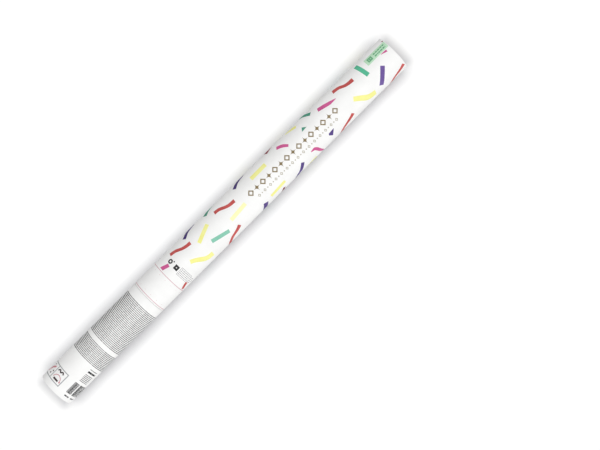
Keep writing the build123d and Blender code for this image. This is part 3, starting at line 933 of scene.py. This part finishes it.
# Grip print: grey blocks of dashes all round, a bold line with fine ones beside it, and plain bars over a row
# of short dashes
gripPrint = {
    "blocks": ((87.2, 151.8), (57.2, 80.0)), "pitch": 2.15,
    # dashes stand taller, so the rows print darker, towards both edges and most on the shaded side: partly
    # bolder print, partly painted shade
    "columns": ((-106, -47.5, 1.12), (-46.8, 0, 0.9), (0.7, 25, 0.8), (25.7, 118, 0.95)),
    "dash": (4.0, 13.0), "gap": 0.4, "grey": ("#6C6C6E", "#5E5E60"),
    "bold": (46.3, 48.8, 33.0, 67.0), "boldDash": (5.0, 9.0), "under": 51.5,
    "fine": (32.6, 43.4, 32.5, 66.0), "finePitch": 2.1, "fineHigh": 0.95, "fineGap": 0.6,
    "pale": ("#7E7E80", "#727274"),
    "bars": (10.6, 28.0), "thickBars": (32.5, 35.5, 53, 56), "thick": 1.1, "thin": 0.7,
    "thinBars": (27.5, 30, 39, 41.5, 44, 50.5, 59.5, 62.5, 65, 68, 71, 74, 77, 80, 83, 86),
    "foot": 6.3, "footHigh": 1.7, "footSpans": ((31.0, 51.0), (58.0, 79.0)), "footDash": (2.0, 4.4),
    "black": ("#424244", "#363638"), "seed": 3,
}


def buildGripPrint():
    draw = random.Random(gripPrint["seed"])
    grey, black, pale = emptyShape(), emptyShape(), emptyShape()
    dash, gap, fineGap = gripPrint["dash"], gripPrint["gap"], gripPrint["fineGap"]
    for low, high in gripPrint["blocks"]:
        rows = round((high - low) / gripPrint["pitch"])
        for row in range(rows + 1):
            for start, end, tall in gripPrint["columns"]:
                addDashes(grey, low + (high - low) * row / rows, tall, start, end, dash, gap, draw)
    low, high, start, end = gripPrint["bold"]
    addDashes(black, (low + high) / 2, high - low, start, end, gripPrint["boldDash"], gap, draw)
    addDashes(pale, gripPrint["under"], gripPrint["fineHigh"], start, end, dash, fineGap, draw)
    low, high, start, end = gripPrint["fine"]
    for row in range(round((high - low) / gripPrint["finePitch"]) + 1):
        station = low + gripPrint["finePitch"] * row
        addDashes(pale, station, gripPrint["fineHigh"], start, end, dash, fineGap, draw)
    for kind in ("thin", "thick"):
        for at in gripPrint[kind + "Bars"]:
            addBlock(black, *gripPrint["bars"], at, at + gripPrint[kind] / mmPerDegree)
    for start, end in gripPrint["footSpans"]:
        addDashes(black, gripPrint["foot"], gripPrint["footHigh"], start, end, gripPrint["footDash"],
                  fineGap, draw)
    layPrint("grip_print_rows", grey, "greyDashInk", gripPrint["grey"], "grip")
    layPrint("grip_print_black", black, "softBlackInk", gripPrint["black"], "grip")
    layPrint("grip_print_pale", pale, "faintGreyInk", gripPrint["pale"], "grip")


# Two outlined panels on the grip: a wavy line and a bar with a turning arrow, and a streamer among specks
gripPanels = {
    "box": (8.2, 28.1, -92.0, 0.0), "divider": -42.5, "stroke": 1.1,
    "frame": ("#A2A6A7", "#969A9C"), "rose": ("#CF8E96", "#C37E87"), "dark": ("#4C3E40", "#3E3234"),
    "wave": [(22.8, -37), (25.0, -31), (22.8, -25), (25.0, -19), (22.8, -13)], "waveWide": 1.8,
    "bar": (11.3, 13.7, -31.0, -12.0),
    "bow": [(13.5, -36), (17.0, -32), (19.0, -22), (17.0, -11), (13.5, -7)], "bowWide": 0.9,
    "tipWide": (3.0, 0.4),
    "streamer": [(11.0, -80), (15.0, -73), (19.5, -66), (23.0, -53)], "streamerWide": (1.6, 3.4, 2.2),
    "specks": [(13.0, -55), (17.0, -50), (24.5, -66)], "speck": 1.1,
}


def buildGripPanels():
    frames, rose, dark = emptyShape(), emptyShape(), emptyShape()
    low, high = gripPanels["box"][:2]
    divider, stroke = gripPanels["divider"], gripPanels["stroke"]
    half = stroke / 2 / mmPerDegree
    addFrame(frames, boxCorners(*gripPanels["box"]), stroke)
    addBlock(frames, low + stroke, high - stroke, divider - half, divider + half)
    addStrip(dark, gripPanels["wave"], gripPanels["waveWide"])
    addBlock(dark, *gripPanels["bar"])
    addStrip(rose, gripPanels["bow"], gripPanels["bowWide"])
    # the arrow's tip goes on from the bow by half of its last stretch
    tail, tip = gripPanels["bow"][-2:]
    point = ((tip[0] * 3 - tail[0]) / 2, (tip[1] * 3 - tail[1]) / 2)
    addStrip(rose, [tip, point], gripPanels["tipWide"])
    addStrip(rose, gripPanels["streamer"], gripPanels["streamerWide"])
    for place in gripPanels["specks"]:
        addDot(dark, place, gripPanels["speck"])
    layPrint("grip_panel_frames", frames, "frameGreyInk", gripPanels["frame"], "grip")
    layPrint("grip_panel_rose", rose, "duskyRoseInk", gripPanels["rose"], "grip")
    layPrint("grip_panel_dark", dark, "brownBlackInk", gripPanels["dark"], "grip")


buildGripPrint()
buildGripPanels()
print("grip print laid")


def turnPiece(name, node, outline, ease, material, body, sharp=meshRules["sharp"], wobble=None):
    shape = turnedShape(eased(outline, ease, closed=False), closed=False, wobble=wobble)
    makePiece(name, shape, material, body, node, sharp)


# Muzzle cover: a pressed card cap, dished a little inside a raised ring
coverCap = {"face": 1.2, "wall": 1.0, "dish": 0.45, "slope": 2.2, "ringShare": 0.78, "ringHalf": 1.1,
            "crownHalf": 0.55, "ringRise": 0.35, "ease": 0.5}


def buildCover():
    foot, crown = endStations("muzzle_cover")
    radius = outerRadius("muzzle_cover")
    inside = radius - coverCap["wall"]
    face = crown - coverCap["ringRise"]
    dished = face - coverCap["dish"]
    back = face - coverCap["face"]
    ring, half, crownHalf = radius * coverCap["ringShare"], coverCap["ringHalf"], coverCap["crownHalf"]
    outline = [(dished, 0.0), (dished, ring - half - coverCap["slope"]), (face, ring - half),
               (crown, ring - crownHalf), (crown, ring + crownHalf), (face, ring + half), (face, radius),
               (foot, radius), (foot, inside), (back, inside), (back, 0.0)]
    turnPiece("muzzle_card_cap", "muzzle_cover", outline, coverCap["ease"], pressedCard, "cover")


# Base cap: moulded, with a pressed ring groove and the dimple of its gate in the middle
baseCap = {"face": 3.0, "wall": 1.6, "groove": 0.8, "grooveHalf": 1.0, "grooveShare": 0.72, "gate": 1.4,
           "gateDeep": 0.3, "gateShare": 0.7, "ease": 0.45}


def buildBaseCap():
    face, foot = endStations("base_cap")
    radius = outerRadius("base_cap")
    inside = radius - baseCap["wall"]
    ring, half, gate = radius * baseCap["grooveShare"], baseCap["grooveHalf"], baseCap["gate"]
    dimple = face + baseCap["gateDeep"]
    deep = face + baseCap["groove"]
    back = face + baseCap["face"]
    outline = [(dimple, 0.0), (dimple, gate * baseCap["gateShare"]), (face, gate), (face, ring - half),
               (deep, ring - half), (deep, ring + half), (face, ring + half), (face, radius),
               (foot, radius), (foot, inside), (back, inside), (back, 0.0)]
    turnPiece("base_moulded_cap", "base_cap", outline, baseCap["ease"], whiteAbs, "grip")


buildCover()
buildBaseCap()
print("end caps built")


# Load: a felt wad, two board discs and stacks of tissue leaves
loadDiscs = {"pieces": {"pusher_disc": "pusher_board", "top_disc": "top_board"}, "easeShare": 0.3}
feltWad = {"ease": 2.2, "fuzz": 0.22, "rows": 8, "waves": 9, "wavesRound": (5, 40), "lean": (0.2, 1.4),
           "sharp": 60.0, "seed": 21}
tissueStacks = {
    "leafMm": 0.72, "fill": 0.8, "slackMm": (1.3, 1.0), "shiftMm": (0.45, 0.35), "yaw": 0.5, "bowMm": 0.4,
    "bowWaves": (0.6, 1.3), "topRoomMm": 0.5, "alongSteps": 14, "acrossSteps": 4, "seed": 42,
}
tissueDyes = {
    "red": ("#F4495B", "#E83B4E"), "yellow": ("#F6EB97", "#F0E183"), "green": ("#0CA974", "#059A67"),
    "blue": ("#2C37CB", "#2229B6"), "magenta": ("#D83EEF", "#C930E2"),
}


def buildDiscs():
    for node, name in loadDiscs["pieces"].items():
        start, end = endStations(node)
        radius = outerRadius(node)
        outline = [(start, 0.0), (start, radius), (end, radius), (end, 0.0)]
        turnPiece(name, node, outline, (end - start) * loadDiscs["easeShare"], cutBoard, "load")


def buildWad():
    start, end = endStations("wad")
    radius = outerRadius("wad")
    draw = random.Random(feltWad["seed"])
    waves = [(draw.randint(*feltWad["wavesRound"]), draw.uniform(0, math.tau), draw.uniform(*feltWad["lean"]))
             for wave in range(feltWad["waves"])]

    def fuzz(station, degrees):
        # matted edge: small hollows only, so that the wad keeps inside the bore
        turn = math.radians(degrees)
        rough = sum(math.sin(turn * count + phase + lean * station) for count, phase, lean in waves)
        return -feltWad["fuzz"] * (0.5 + rough / len(waves) / 2)

    sides = [(start + (end - start) * row / feltWad["rows"], radius) for row in range(feltWad["rows"] + 1)]
    turnPiece("felt_wad", "wad", [(start, 0.0), *sides, (end, 0.0)], feltWad["ease"], woolFelt, "load",
              feltWad["sharp"], wobble=fuzz)


def stackBoxes(node):
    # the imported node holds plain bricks: one box for each
    mesh = bmesh.new()
    mesh.from_mesh(frame["nodes"][node].data)
    bmesh.ops.remove_doubles(mesh, verts=mesh.verts, dist=meshRules["brickWeld"])
    left = set(mesh.verts)
    boxes = []
    while left:
        group, edge = set(), [min(left, key=lambda vert: vert.index)]
        while edge:
            vert = edge.pop()
            if vert not in group:
                group.add(vert)
                edge.extend(link.other_vert(vert) for link in vert.link_edges)
        left -= group
        places = list(zip(*(vert.co for vert in group)))
        boxes.append((Vector(map(min, places)), Vector(map(max, places))))
    mesh.free()
    return sorted(boxes, key=lambda box: tuple(box[0]))


def addLeaf(shape, middle, size, height, thick, yaw, bowAt):
    upper, lower = [], []
    for row in range(tissueStacks["alongSteps"] + 1):
        along = (row / tissueStacks["alongSteps"] - 0.5) * size[0]
        upperRow, lowerRow = [], []
        for column in range(tissueStacks["acrossSteps"] + 1):
            across = (column / tissueStacks["acrossSteps"] - 0.5) * size[1]
            x = middle[0] + along * math.cos(yaw) - across * math.sin(yaw)
            y = middle[1] + along * math.sin(yaw) + across * math.cos(yaw)
            z = height + bowAt(along)
            upperRow.append((x, y, z + thick / 2))
            lowerRow.append((x, y, z - thick / 2))
        upper.append(upperRow)
        lower.append(lowerRow)
    addSlab(shape, upper, lower)


def addStack(shape, low, high, draw):
    # a pile of leaves that share one gentle bow, each a little shifted and turned
    size, centre = high - low, (low + high) / 2
    bow, topRoom = tissueStacks["bowMm"] / mmPerMetre, tissueStacks["topRoomMm"] / mmPerMetre
    room = size.z - bow - topRoom
    leaves = round(room * mmPerMetre / tissueStacks["leafMm"])
    pitch = room / leaves
    slack = Vector(tissueStacks["slackMm"]) / mmPerMetre
    leafSize = (size.x - slack.x, size.y - slack.y)
    phase, waves = draw.uniform(0, math.tau), draw.uniform(*tissueStacks["bowWaves"])

    def bowAt(along):
        return bow * (0.5 + 0.5 * math.sin(math.tau * waves * along / size.x + phase))

    for leaf in range(leaves):
        middle = [place + draw.uniform(-1, 1) * shift / mmPerMetre
                  for place, shift in zip(centre, tissueStacks["shiftMm"])]
        yaw = math.radians(draw.uniform(-1, 1) * tissueStacks["yaw"])
        height = low.z + pitch * (leaf + 0.5)
        addLeaf(shape, middle, leafSize, height, pitch * tissueStacks["fill"], yaw, bowAt)


def buildTissue():
    draw = random.Random(tissueStacks["seed"])
    for colour, tones in tissueDyes.items():
        node = "confetti_" + colour
        shape = emptyShape()
        for low, high in stackBoxes(node):
            addStack(shape, low, high, draw)
        paper = tissuePaper(colour + "Tissue", tones)
        makePiece("tissue_" + colour, shape, paper, "load", node)


buildDiscs()
buildWad()
buildTissue()
print("load built")


# Valve spring: wound wire with its end turns closed up
valveCoil = {"wire": 0.9, "turns": 8, "closed": 1.0, "stepsPerTurn": 24, "sides": 10, "squeezed": 0.62}


def coilLine():
    wire, turns, closed = valveCoil["wire"], valveCoil["turns"], valveCoil["closed"]
    start, end = endStations("valve_spring")
    radius = outerRadius("valve_spring") - wire / 2
    openRise = (end - start - wire - 2 * closed * wire) / (turns - 2 * closed)
    line = []
    for step in range(turns * valveCoil["stepsPerTurn"] + 1):
        turn = step / valveCoil["stepsPerTurn"]
        closedTurns = min(turn, closed) + max(0.0, turn - turns + closed)
        rise = closedTurns * wire + (turn - closedTurns) * openRise
        line.append(Vector(pointAt(start + wire / 2 + rise, 360 * turn, radius)))
    return line


def buildCoil():
    line = coilLine()
    last = len(line) - 1
    sides = valveCoil["sides"]
    wireRadius = valveCoil["wire"] / 2 / mmPerMetre
    shape = emptyShape()
    for step, place in enumerate(line):
        heading = (line[min(step + 1, last)] - line[max(step - 1, 0)]).normalized()
        outward = Vector((0.0, place.y, place.z - axisZ)).normalized()
        sideways = heading.cross(outward).normalized()
        for side in range(sides):
            angle = math.tau * side / sides
            ray = outward * math.cos(angle) + sideways * math.sin(angle)
            shape["points"].append(place + ray * wireRadius)
    for step in range(last):
        here, after = step * sides, (step + 1) * sides
        for side in range(sides):
            beside = (side + 1) % sides
            shape["faces"].append((here + side, here + beside, after + beside, after + side))
    shape["faces"].append(tuple(range(sides)))
    shape["faces"].append(tuple(range(last * sides, (last + 1) * sides)))
    coil = makePiece("valve_coil", shape, springSteel, "barrel", "valve_spring")
    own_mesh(coil)


buildCoil()


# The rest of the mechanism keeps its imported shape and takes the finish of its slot
slotFinish = {"grey_abs": greyAbs, "acetal": acetal, "drawn_aluminium": drawnAluminium,
              "tinned_steel": tinnedSteel, "spring_steel": springSteel, "nitrile_rubber": nitrileRubber}


def finishMechanism():
    for part in frame["record"]["subparts"]:
        node = frame["nodes"][part["node"]]
        if node.hide_render:
            continue
        node.data.materials.clear()
        node.data.materials.append(slotFinish[part["material_slot"]])


finishMechanism()
print("mechanism finished")
